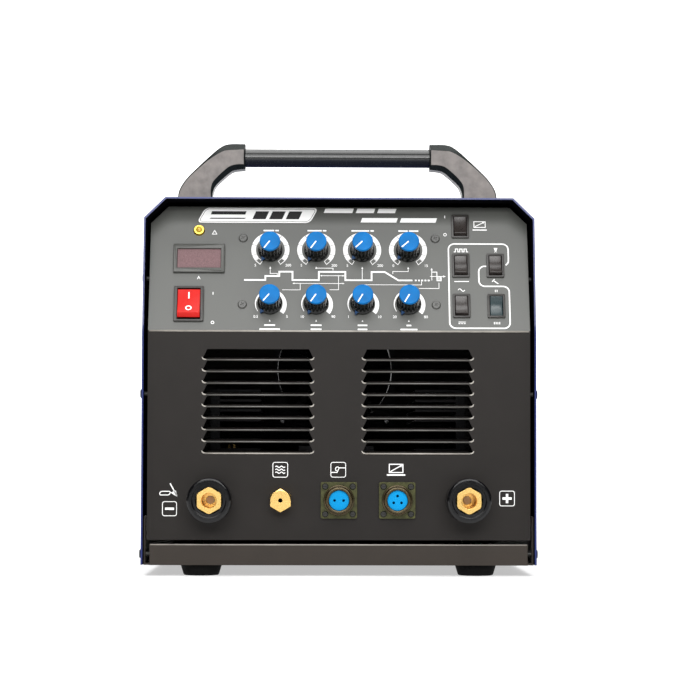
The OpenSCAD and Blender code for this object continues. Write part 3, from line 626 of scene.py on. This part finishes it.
def louvre_lips():
    """The rolled foot of each louvre turns up at its two ends; rods along the feet carry a painted
    highlight, lighter at the turned-up ends, where the rolled edges catch the light from above.

    The lowest foot of each bank carries the lighter painted highlight over its whole length.
    """
    pitch, count, first, half, banks = 9.65, 9, 101.5, 45.2, (-67, 65)
    lift = -0.1                                  # a foot's axis lies just under the panel's face
    lips, ends = ([], []), ([], [])
    for x in banks:
        for i in range(count):
            z = first - 0.7 + i * pitch
            full_highlight = i == 0
            radius = 0.62 if full_highlight else 0.5
            foot = [(x - half + 2, z), (x, z), (x + half - 2, z)]
            add_rod(*(ends if full_highlight else lips), foot, (radius, radius, radius), lift)
            curl = [(half - 3.2, z), (half - 0.8, z + 0.25), (half + 0.5, z + 1.0),
                    (half + 1.1, z + 2.3)]
            for side in (-1, 1):
                path = [(x + side * dx, dz) for dx, dz in curl]
                add_rod(*ends, path, (0.4, 0.66, 0.62, 0.35), lift)
    # painted highlights: the rods' paler paint stands in for the light on the rolled edges
    piece("louvre_lips", *lips, FRONT, "lip", slot="case_paint", smooth=True)
    piece("louvre_ends", *ends, FRONT, "edge", slot="case_paint", smooth=True)


def folded_edges():
    """Painted highlights along the panel's bend and the top of the base's flange, where the rounded
    folds catch the light from above.
    """
    lift, flange_top = -0.35, 25.8
    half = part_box("front_panel")[1].x / MM - 1
    verts, faces = [], []
    add_rod(verts, faces, [(-half, 0), (0, 0), (half, 0)], (0.8, 0.8, 0.8), lift)
    # a painted highlight, on the bend and then on the flange's top
    piece("bend_edge", verts, faces, SLOPE, "edge", slot="case_paint", smooth=True)
    verts, faces = [], []
    half -= 2
    flange = [(-half, flange_top), (0, flange_top), (half, flange_top)]
    add_rod(verts, faces, flange, (0.55, 0.55, 0.55), FLANGE_LEAD + lift)
    piece("flange_edge", verts, faces, FRONT, "edge", slot="case_paint", smooth=True)


def add_rod(verts, faces, path, radii, lift, sides=10):
    """A round rod along flat points, closed at both ends."""
    start = len(verts)
    for k, ((x, y), r) in enumerate(zip(path, radii)):
        (x0, y0), (x1, y1) = path[max(k - 1, 0)], path[min(k + 1, len(path) - 1)]
        along = Vector((x1 - x0, y1 - y0)).normalized()
        for s in range(sides):
            a = 2 * math.pi * s / sides
            side = r * math.cos(a)
            verts.append((x - along.y * side, y + along.x * side, lift + r * math.sin(a)))
    for k in range(len(path) - 1):
        for s in range(sides):
            t = (s + 1) % sides
            a, b = start + k * sides, start + (k + 1) * sides
            faces.append((a + s, a + t, b + t, b + s))
    end = start + (len(path) - 1) * sides
    faces.append(tuple(range(start, start + sides)))
    faces.append(tuple(range(end, end + sides)))


louvre_lips()
folded_edges()


# ---------------------------------------------------------------- knobs

FLUTES, FLUTE_DEPTH = 18, 1.25
NIB_REACH, NIB_HALF_ANGLE = 1.9, 0.22            # mm and radians
SKIRT_R, BODY_R, CAP_R = 10.2, 8.85, 8.55
CAP_FLOOR = KNOB_HEIGHT - 3


def knob_radius(r, z, a):
    """Flutes run up the body, and a nib stands out of the skirt along +x."""
    if 4.2 < z < CAP_FLOOR - 0.3 and r > 7:
        wave = 0.5 - 0.5 * math.cos(a * FLUTES)
        r -= FLUTE_DEPTH * wave ** 1.5
    if z < 4.0 and r > 8:
        off = math.atan2(math.sin(a), math.cos(a))
        r += NIB_REACH * max(0.0, 1 - abs(off) / NIB_HALF_ANGLE)
    return r


def knob(name, spot, rest):
    """A fluted knob with its cap, its nib on the skirt and the white pointer on top."""
    body = name + "_dial"
    turn = Matrix.Rotation(math.radians(-90 - rest), 4, "Z")
    place = SLOPE @ Matrix.Translation((spot.x, spot.y, 0)) @ turn
    profile = [(0, 0.9), (9.9, 0.9), (SKIRT_R, 1.2), (SKIRT_R, 2.2), (9.9, 2.6), (9.2, 3.2),
               (8.95, 4.0), (BODY_R, 4.6), (BODY_R, 6), (8.8, 10), (8.75, 14),
               (8.7, CAP_FLOOR - 0.6), (8.6, CAP_FLOOR - 0.2), (8.3, CAP_FLOOR), (0, CAP_FLOOR)]
    verts, faces = lathe(profile, 160, knob_radius)
    grip = piece(name + "_grip", verts, faces, place, "knob", body, "knob_plastic", smooth=True)
    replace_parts(grip, name + "_knob")
    top = KNOB_HEIGHT
    profile = [(0, CAP_FLOOR), (8.4, CAP_FLOOR), (CAP_R, CAP_FLOOR + 0.2), (CAP_R, top - 0.9),
               (8.45, top - 0.55), (8.2, top - 0.3), (7.8, top - 0.18), (7.0, top - 0.12),
               (4.0, top - 0.06), (0, top - 0.05)]
    verts, faces = lathe(profile, 96)
    cap = piece(name + "_top", verts, faces, place, "cap", body, "cap_plastic", smooth=True)
    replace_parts(cap, name + "_cap")
    wedge = Print(4.15, 1.0)
    wedge.plate([(9.6, -1.7), (12.2, -0.35), (12.2, 0.35), (9.6, 1.7)])
    piece(name + "_nib", wedge.verts, wedge.faces, place, "nib", body, "knob_plastic")
    line = Print(top + 0.03, top - 0.5)
    line.line([(0.4, 0), (8.1, 0)], 0.95)
    piece(name + "_pointer", line.verts, line.faces, place, "ink", body, "cap_plastic")


for knob_name, knob_spot, knob_rest in zip(KNOB_NAMES, KNOB_SPOTS, KNOB_REST):
    knob(knob_name, knob_spot, knob_rest)


# ---------------------------------------------------------------- printing on the control panel

DIAL_NUMBERS = [("5", "200"), ("5", "200"), ("5", "200"), ("0", "15"),
                ("0.5", "5"), ("10", "90"), ("1", "10"), ("20", "80")]
THIN, BOLD = 0.45, 1.35


def dial_scales():
    """The upper dials have a band in seven divisions, and the lower ones a crescent that widens."""
    inner, outer, start, end, divisions = 12.1, 15.9, 53, 307, 7
    white, marks = Print(), Print(INK + 0.03)
    for i, spot in enumerate(KNOB_SPOTS):
        x, y = spot.x, spot.y
        if i < TOP_ROW:
            y += 0.9
            white.ring_sector(x, y, inner, outer, start, end, 48)
            for side in (-1, 1):
                # an open cell at each end of the scale
                a0, a1 = sorted((180 + side * 147, 180 + side * 129))
                near, far = inner + 0.2, outer - 0.2
                corners = [polar(x, y, near, a0), polar(x, y, far, a0),
                           polar(x, y, far, a1), polar(x, y, near, a1)]
                white.line(corners, THIN, closed=True)
            for k in range(divisions):
                a = start + (k + 0.5) * (end - start) / divisions
                marks.line([polar(x, y, inner, a), polar(x, y, outer, a)], 0.3)
        else:
            y -= 0.6
            white.ring_sector(x, y, (11.7, 10.4), (12.1, 14.2), 58, 308, 56)
    white.build("dial_scales", SLOPE)
    marks.build("dial_divisions", SLOPE, "gap")


def polar(x, y, r, a):
    """A point at angle a from straight down, turning clockwise."""
    t = math.radians(-90 - a)
    return (x + r * math.cos(t), y + r * math.sin(t))


def dial_numbers():
    ink, size = Print(), 3.3
    for i, ((low, high), spot) in enumerate(zip(DIAL_NUMBERS, KNOB_SPOTS)):
        reach, drop = (12.4, 13.2) if i < TOP_ROW else (11.6, 11.9)
        ink.number(low, spot.x - reach, spot.y - drop, size)
        ink.number(high, spot.x + reach + 2.6, spot.y - drop, size)
    ink.build("dial_numbers", SLOPE)


def label(ink, x, y, widths, height=1.3, space=0.9):
    """A row of plain bars, where a dial has its name."""
    total = sum(widths) + space * (len(widths) - 1)
    left = x - total / 2
    for width in widths:
        ink.plate(rounded(left + width / 2, y, width, height, 0.3, 2))
        left += width + space


def dial_labels():
    """One line over each upper dial, and two under each lower one."""
    over = ((9, 3), (12, 3), (15, 3), (8, 8))
    under = ((9, 17), (9, 9), (8, 8), (4, 14))
    ink = Print()
    for spot, widths in zip(KNOB_SPOTS[:TOP_ROW], over):
        label(ink, spot.x + 0.5, spot.y + 18.4, widths)
    for spot, (first, second) in zip(KNOB_SPOTS[TOP_ROW:], under):
        label(ink, spot.x, spot.y - 19.4, (first,))
        label(ink, spot.x, spot.y - 23.0, (second,))
        ink.arrow(spot.x, spot.y - 14.6, (0, 1), 1.5)
    ink.build("dial_labels", SLOPE)


def weld_diagram():
    """The current against time through a weld, with a leader from each stretch to its knob."""
    ink = Print()
    x1, x2, x3, x4 = (spot.x for spot in KNOB_SPOTS[:TOP_ROW])
    low, start, high = 45.4, 49.0, 52.9
    ink.line([(-79.3, low), (-61.6, low), (-61.6, start), (-50, start), (-50, high), (-39, high),
              (-39, low), (-17, low), (-17, high), (5.1, high), (5.1, low), (27, low), (27, high),
              (38, high), (49.3, low), (61, low)], BOLD)
    for k in range(5):
        left = 63 + k * 2.7
        ink.line([(left, low), (left + 1.5, low)], BOLD)
    for y, left in ((49.4, -16), (42.4, -39)):
        ink.line([(left + 1, y), (3.6, y)], THIN)
        ink.arrow(left, y, (-1, 0))
        ink.arrow(4.4, y, (1, 0))
    foot = KNOB_SPOTS[0].y - 15.6
    for points in ([(x1, foot), (x1, 51.3), (x1 + 6, 51.3), (x1 + 6, 49.8)],
                   [(x2, foot), (x2 + 14, foot), (x2 + 14, 54.2)],
                   [(x3, foot), (x3, 46.4)],
                   [(x4, foot), (x4, 53.4), (44.7, 53.4), (44.7, 51.2)],
                   [(-47.5, 36.6), (-32.5, 36.6), (-32.5, 42)],
                   [(-8, 36.8), (-0.6, 36.8), (-0.6, 49)],
                   [(x3, 39.5), (x3, 41.4), (68.6, 41.4), (68.6, 44.6)],
                   [(66.4, 38.2), (83.1, 38.2), (83.1, 43.4)]):
        ink.line(points, THIN)
    for x in (x1, x2, x3, x4):
        ink.arrow(x, foot + 1.4, (0, 1), 1.9)
    # a small alternating wave on two axes
    ink.line([(77.2, 45.5), (77.2, 55.4)], THIN)
    ink.line([(75.8, 49), (87.4, 49)], THIN)
    ink.arrow(77.2, 56.6, (0, 1), 2)
    ink.arrow(88.8, 49, (1, 0), 2)
    ink.line([(77.2, 53), (81.5, 53), (81.5, 45.2), (85, 45.2), (85, 49)], 0.6)
    for k in range(3):
        ink.line([(82.4 + k * 0.9, 45.4), (82.4 + k * 0.9, 48.8)], 0.35)
    ink.build("weld_diagram", SLOPE)


def mode_outline():
    """A rounded line ties the four mode switches together and hooks in between two of them."""
    left, right, top, low = 91.5, 141.6, 78.6, 2.8
    hook_x, r = 116.5, 5.0
    points = arc(right - r, 63.8, r, -60, 0) + arc(right - r, top - r, r, 0, 90)
    points += arc(left + r, top - r, r, 90, 180) + arc(left + r, low + r, r, 180, 270)
    points += arc(right - r, low + r, r, 270, 360) + arc(right - r, 40.3 - r, r, 0, 90)
    points += arc(hook_x + r, 40.3 + r, r, 270, 180) + arc(hook_x + r, 58.4 - r, r, 180, 90)
    points.append((hook_x + r + 1.5, 58.4))
    ink = Print()
    ink.line(points, 1.1)
    ink.build("mode_outline", SLOPE)


def switch_symbols():
    """Generic signs beside the switches, the lamp and the meter."""
    ink = Print()
    # square wave over a plain bar: pulsed and steady current
    wave = [(0, 0), (1.4, 0), (1.4, 2.6), (3.4, 2.6), (3.4, 0), (5.0, 0), (5.0, 2.6), (7.0, 2.6),
            (7.0, 0), (8.6, 0), (8.6, 2.6), (10.6, 2.6), (10.6, 0), (12, 0)]
    ink.line([(96 + x, 71.4 + y) for x, y in wave], 0.75)
    ink.line([(96, 44.6), (108, 44.6)], 0.75)
    # a sine wave, and a line over dashes: alternating and direct current
    sine = [(98.9 + t * 0.28, 36.9 + 1.1 * math.sin(t * math.pi / 10)) for t in range(21)]
    ink.line(sine, 0.6)
    ink.line([(98.7, 8.3), (104.7, 8.3)], 0.55)
    for k in range(3):
        ink.line([(98.7 + k * 2.2, 6.9), (100.3 + k * 2.2, 6.9)], 0.55)
    # a cone with an arc under it, and a rod in a clamp: the two processes
    ink.plate([(129.6, 75), (132.6, 75), (131.7, 72.2), (130.5, 72.2)])
    ink.line(arc(131.1, 70.6, 1.1, 20, 160, 6), 0.4)
    ink.line([(128.6, 45.6), (132.6, 42.6)], 0.8)
    ink.line([(127.6, 44.6), (129.6, 46.8)], 0.8)
    # two strokes and four strokes of the torch trigger
    for count, y in ((2, 36.2), (4, 7.4)):
        for k in range(count):
            x = 130.7 + (k - (count - 1) / 2) * 1.5
            ink.line([(x, y - 1.0), (x, y + 1.0)], 0.6)
    # on and off
    for x, on_y, off_y in ((88.9, 103.3, 87.0), (-104.9, 33.3, 7.3)):
        ink.line([(x, on_y - 1.2), (x, on_y + 1.2)], 0.6)
        ink.line(arc(x, off_y, 1.2, 0, 330, 11), 0.5, closed=True)
    # remote control
    ink.line([(113.4, 93.8), (122.9, 93.8), (122.9, 99), (113.4, 99)], 0.6, closed=True)
    ink.line([(114.4, 94.6), (120.9, 98)], 0.6)
    ink.arrow(122.4, 98.7, (3, 1.6), 1.8)
    ink.line([(112.2, 91.4), (124.2, 91.4)], 0.9)
    # overheating, beside the lamp
    ink.line([(-106.4, 86.8), (-102.6, 86.8), (-104.5, 90.2)], 0.5, closed=True)
    ink.number("A", -117.1, 47.2, 4.2)
    ink.build("switch_symbols", SLOPE)


def name_plate():
    """A blank plate with a plain border and two plain bars, in place of a name."""
    white, dark = Print(0.5), Print(0.56)
    white.plate(rounded(-68.6, 104.0, 95, 13.6, 3.6, 6, 7.0))
    dark.line(rounded(-68.6, 104.0, 92.4, 11.4, 2.8, 6, 6.2), 0.35, closed=True)
    for x0, x1, y0, y1 in ((-108, -79, 104.6, 107.6), (-109, -79.5, 100.6, 101.6)):
        dark.plate([(x0, y0), (x1, y0), (x1 + 1, y1), (x0 + 1, y1)])
    for k in range(3):
        x = -73 + k * 14
        dark.plate([(x, 100.4), (x + 11, 100.4), (x + 14, 107.6), (x + 3, 107.6)])
    white.build("name_plate", SLOPE, slot="bezel_plastic")
    dark.build("name_plate_bars", SLOPE, "gap")
    bars = Print()
    for y, left, widths in ((108.6, -13, (24, 15, 15)), (100.0, 18, (30, 30))):
        for width in widths:
            bars.plate([(left, y - 2), (left + width, y - 2), (left + width + 1.4, y + 2),
                        (left + 1.4, y + 2)])
            left += width + 3
    bars.build("title_bars", SLOPE)


dial_scales()
dial_numbers()
dial_labels()
weld_diagram()
mode_outline()
switch_symbols()
name_plate()


# ---------------------------------------------------------------- printing on the upright panel

def socket_symbols():
    """Generic signs beside and over the five sockets, four of them in a rounded box."""
    ink = Print()
    boxes = {"minus": (-139.4, 55.2, 11.6), "plus": (138.7, 64.1, 12.2), "gas": (-48.4, 87.4, 12.2),
             "arc": (-0.6, 87.5, 12.2)}
    for x, y, side in boxes.values():
        ink.line(rounded(x, y, side, side, 1.7, 4), 0.55, closed=True)
    x, y, _ = boxes["minus"]
    ink.plate(rounded(x, y, 7.4, 1.9, 0.2, 2))
    x, y, _ = boxes["plus"]
    a, b = 1.0, 3.8
    ink.plate([(x - a, y - b), (x + a, y - b), (x + a, y - a), (x + b, y - a), (x + b, y + a),
               (x + a, y + a), (x + a, y + b), (x - a, y + b), (x - a, y + a), (x - b, y + a),
               (x - b, y - a), (x - a, y - a)])
    # gas: three flowing lines
    x, y, _ = boxes["gas"]
    for k in (-1, 0, 1):
        ink.line([(x - 4 + t * 0.4, y + 2.4 * k + 0.6 * math.sin(t * math.pi / 5)) for t in range(21)],
                 0.7)
    # torch trigger: a step with an arc over it
    x, y, _ = boxes["arc"]
    ink.line([(x - 6, y - 2.2), (x - 1, y - 2.2), (x + 0.8, y + 1.6), (x + 6, y + 1.6)], 0.7)
    ink.line(arc(x - 0.6, y + 0.6, 1.7, 40, 250, 8), 0.7)
    # remote control
    x, y = 47.1, 88.7
    ink.line([(x - 5.6, y - 3.4), (x + 5.6, y - 3.4), (x + 5.6, y + 3.4), (x - 5.6, y + 3.4)], 0.8,
             closed=True)
    ink.line([(x - 5, y - 2.8), (x + 3.6, y + 2)], 0.75)
    ink.arrow(x + 5.6, y + 3.2, (4, 2.4), 2.6)
    ink.line([(x - 7.6, y - 5.4), (x + 7.6, y - 5.4)], 1.2)
    # torch: a handle, a neck and an electrode holder
    x, y = -139.8, 69.4
    ink.line(rounded(x - 3.4, y - 1.4, 8.4, 3.0, 1.3, 4, 1.0), 0.7, closed=True)
    ink.line([(x + 0.8, y + 6.6), (x + 6.4, y - 3.6)], 1.0)
    ink.plate([(x + 1.2, y - 1.0), (x + 5.6, y + 0.8), (x + 6.6, y - 4.4)])
    ink.build("socket_symbols", FRONT)


def socket_details():
    """A threaded ring round each signal socket, and the bolt at the bottom of each output."""
    for x, name in ((0, "torch"), (SIGNAL_X, "remote")):
        profile = [(8.7, 2.4), (12.4, 2.4), (12.7, 2.7), (12.7, 3.6), (12.2, 4.0), (11.4, 4.0),
                   (11.2, 4.5), (11.2, 6.2), (10.9, 6.6), (10.9, 12.1), (10.5, 12.5), (8.9, 12.5),
                   (8.7, 12.3), (8.7, 2.4)]
        verts, faces = lathe(profile, 72)
        place = FRONT @ Matrix.Translation((x, SOCKET_Z, 0))
        piece(name + "_socket_ring", verts, faces, place, "brown", slot="shell_metal", smooth=True)
        profile = [(7.7, 2), (8.35, 2), (8.35, 9.7), (8.1, 10.03), (7.7, 10.03), (7.7, 2)]
        verts, faces = lathe(profile, 72)
        piece(name + "_insert_rim", verts, faces, place, "insert", slot="insert_plastic")
    for x, name in ((-OUTPUT_X, "left"), (OUTPUT_X, "right")):
        place = FRONT @ Matrix.Translation((x, SOCKET_Z, 0))
        profile = [(0, -4.2), (3.3, -4.2), (3.3, -2.6), (3.0, -2.3), (1.6, -2.3), (1.6, -3.2), (0, -3.2)]
        verts, faces = lathe(profile, 48)
        piece(name + "_contact_bolt", verts, faces, place, "bolt", slot="steel_screw")
        profile = [(6.48, -3.9), (6.48, 23.4), (6.38, 23.4), (6.38, -3.9), (6.48, -3.9)]
        verts, faces = lathe(profile, 72)
        piece(name + "_contact_bore", verts, faces, place, "bore", slot="brass", smooth=True)


def rocker_symbols():
    """The line and the ring on the red rocker, lying in its two faces."""
    crest, reach = 4.8, 6.4                      # the ridge over the pivot, and a mark from the ridge
    lean = math.radians(ROCKER_LEAN)
    pivot = SLOPE.inverted() @ joint_place("main_rocker_tilt")
    ridge = (SLOPE @ Matrix.Translation(pivot) @ Matrix.Rotation(-lean, 4, "X")
             @ Matrix.Translation((0, 0, crest)))
    for name, side, points, closed in (("line", 1, [(0, -2.9), (0, 2.9)], False),
                                       ("ring", -1, arc(0, 0, 2.2, 0, 345, 23), True)):
        ink = Print(0.06, -0.4)
        ink.line(points, 1.05, closed)
        place = ridge @ Matrix.Rotation(side * lean, 4, "X") @ Matrix.Translation((0, side * reach, 0))
        piece("main_rocker_" + name, ink.verts, ink.faces, place, "ink", "main_rocker",
              "main_rocker_plastic")


socket_symbols()
socket_details()
rocker_symbols()


# ---------------------------------------------------------------- stage, light and camera

def studio():
    """A pale floor that sweeps up into a backdrop."""
    half, front, back, bend_r, top = 6.0, -4.0, 3.0, 1.2, 5.0
    profile = [(front, 0.0)]
    profile += [(back + bend_r * math.sin(math.radians(t)), bend_r - bend_r * math.cos(math.radians(t)))
                for t in range(0, 91, 6)]
    profile.append((back + bend_r, top))
    verts = [(x, y, z) for y, z in profile for x in (-half, half)]
    faces = [(2 * i, 2 * i + 1, 2 * i + 3, 2 * i + 2) for i in range(len(profile) - 1)]
    mesh = bpy.data.meshes.new("studio_floor")
    mesh.from_pydata(verts, [], faces)
    for polygon in mesh.polygons:
        polygon.use_smooth = True
    floor = bpy.data.objects.new("studio_floor", mesh)
    bpy.context.scene.collection.objects.link(floor)
    paper = surface("studio_paper", (0.55, 0.55, 0.55), 0.9, vary=0.01, bump=0.02, specular=0.0)
    glow = paper.node_tree.nodes["Principled BSDF"].inputs
    glow["Emission Color"].default_value = (1, 1, 1, 1)
    glow["Emission Strength"].default_value = 0.5
    mesh.materials.append(paper)


def softbox(name, place, target, width, height, power):
    """An area light that stands at a place and faces a target."""
    light = bpy.data.lights.new(name, "AREA")
    light.shape, light.size, light.size_y, light.energy = "RECTANGLE", width, height, power
    obj = bpy.data.objects.new(name, light)
    bpy.context.scene.collection.objects.link(obj)
    obj.location = place
    obj.rotation_euler = (Vector(target) - Vector(place)).to_track_quat("-Z", "Y").to_euler()


def lights():
    """A large softbox overhead, two in front, one for the backdrop, and hardly any light all round."""
    world = bpy.data.worlds.new("studio")
    bpy.context.scene.world = world
    world.use_nodes = True
    world.node_tree.nodes["Background"].inputs["Color"].default_value = (1, 1, 1, 1)
    world.node_tree.nodes["Background"].inputs["Strength"].default_value = 0.04
    softbox("overhead", (0, 0.0, 2.5), (0, 0, 0.2), 2.6, 2.4, 92)
    softbox("front_top", (0, -2.0, 1.57), (0, -0.2, 0.2), 2.2, 0.9, 32)
    softbox("front_low", (0, -2.4, 0.95), (0, -0.2, 0.25), 2.2, 0.4, 36)
    softbox("backdrop", (0, 1.6, 2.6), (0, 4.0, 1.2), 4.0, 1.5, 260)


def camera():
    """Low down and almost square to the front, from over two metres away."""
    place = Vector((-0.0208, -2.154, 0.100))
    yaw, pitch, roll = -0.0154, 0.0448, 0.0022
    forward = Vector((-math.sin(yaw) * math.cos(pitch), math.cos(yaw) * math.cos(pitch),
                      math.sin(pitch)))
    right = Vector((math.cos(yaw), math.sin(yaw), 0))
    up = right.cross(forward)
    right, up = (right * math.cos(roll) + up * math.sin(roll),
                 up * math.cos(roll) - right * math.sin(roll))
    data = bpy.data.cameras.new("camera")
    data.lens, data.sensor_width = 120.0, 36.0
    obj = bpy.data.objects.new("camera", data)
    bpy.context.scene.collection.objects.link(obj)
    turn = Matrix((right, up, -forward)).transposed().to_4x4()
    obj.matrix_world = Matrix.Translation(place) @ turn
    bpy.context.scene.camera = obj


bpy.context.scene.view_settings.view_transform = "Standard"
studio()
lights()
camera()
